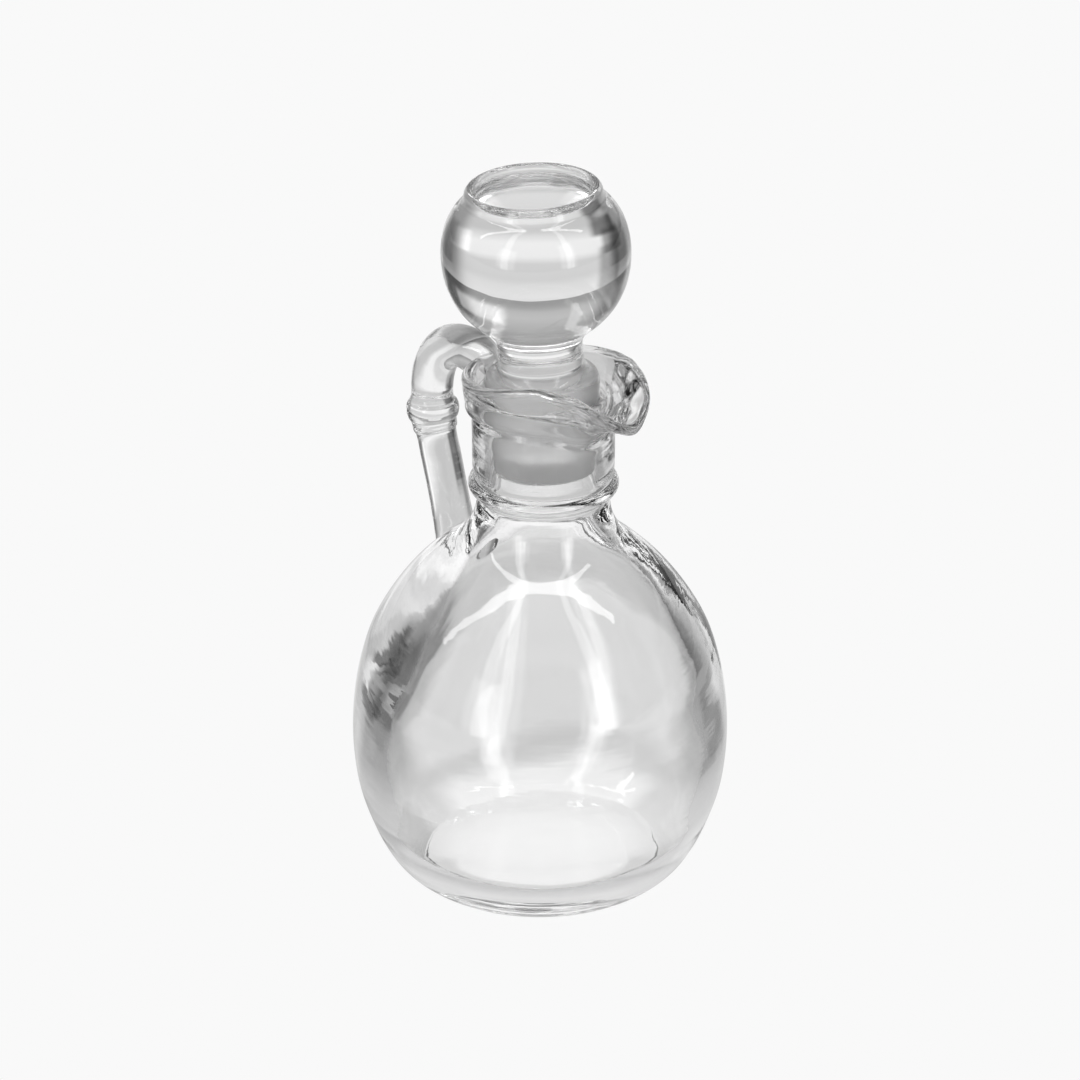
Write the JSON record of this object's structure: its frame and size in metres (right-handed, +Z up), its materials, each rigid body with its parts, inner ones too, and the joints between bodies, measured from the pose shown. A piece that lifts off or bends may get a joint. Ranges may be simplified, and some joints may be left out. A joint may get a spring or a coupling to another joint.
{
  "type": "oil and vinegar cruet",
  "caption": "Clear glass table cruet for oil or vinegar: a round bottle with a pouring lip, an applied rod handle and a lift-out ball stopper.",
  "frame": {"origin": "centre of the flat base, on the axis of the bottle's round body", "axes": "+Z up along the body's axis, +X toward the pouring lip, -X toward the handle"},
  "size_m": [0.0771, 0.076, 0.148],
  "materials": {
    "bottle_glass": "clear colourless pressed glass, glossy",
    "stopper_glass": "clear colourless pressed glass, glossy"
  },
  "bodies": {
    "root": {"bottle": "bottle_glass", "stopper": "stopper_glass"}
  },
  "joints": []
}
